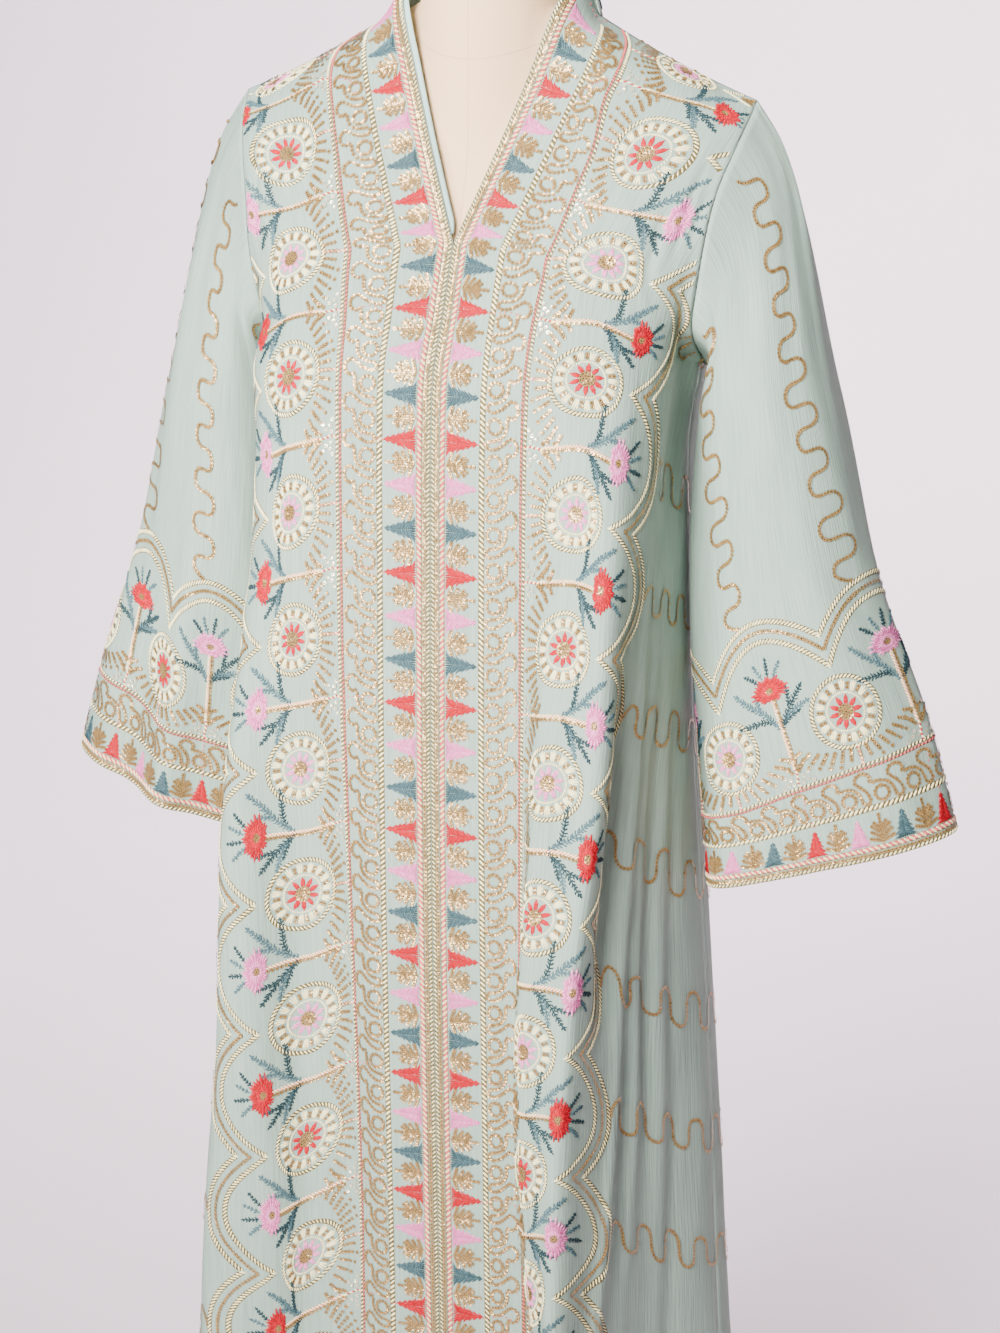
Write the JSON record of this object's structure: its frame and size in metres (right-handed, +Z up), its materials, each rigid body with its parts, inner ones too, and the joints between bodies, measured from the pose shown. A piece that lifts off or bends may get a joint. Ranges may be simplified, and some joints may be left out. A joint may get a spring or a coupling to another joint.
{
  "type": "abaya on dress form with stand",
  "caption": "Long straight abaya with a V neck, flared sleeves and embroidered bands, on a limbless dress form with a pole and a round base.",
  "frame": {"origin": "middle of the stand's base plate, on the floor", "axes": "+Z up, -Y the way the front faces, +X to the wearer's left"},
  "size_m": [0.7408, 0.3649, 1.518],
  "materials": {
    "cloth": "pale sage silk-look cloth with a soft sheen",
    "facing": "plain pale blue-green weave",
    "trim": "gold and cream braid of sequins and chain stitch",
    "form_cloth": "cream knitted cover",
    "steel": "satin grey"
  },
  "bodies": {
    "root": {"front_left": "cloth", "front_right": "cloth", "back": "cloth", "neck_band": "cloth", "sleeve_left": "cloth", "sleeve_right": "cloth", "neck_facing": "facing", "front_trim_left": "trim", "front_trim_right": "trim", "neck_band_trim": "trim", "cuff_trim_left": "trim", "cuff_trim_right": "trim", "form_torso": "form_cloth", "stand_pole": "steel", "stand_base": "steel"}
  },
  "joints": []
}
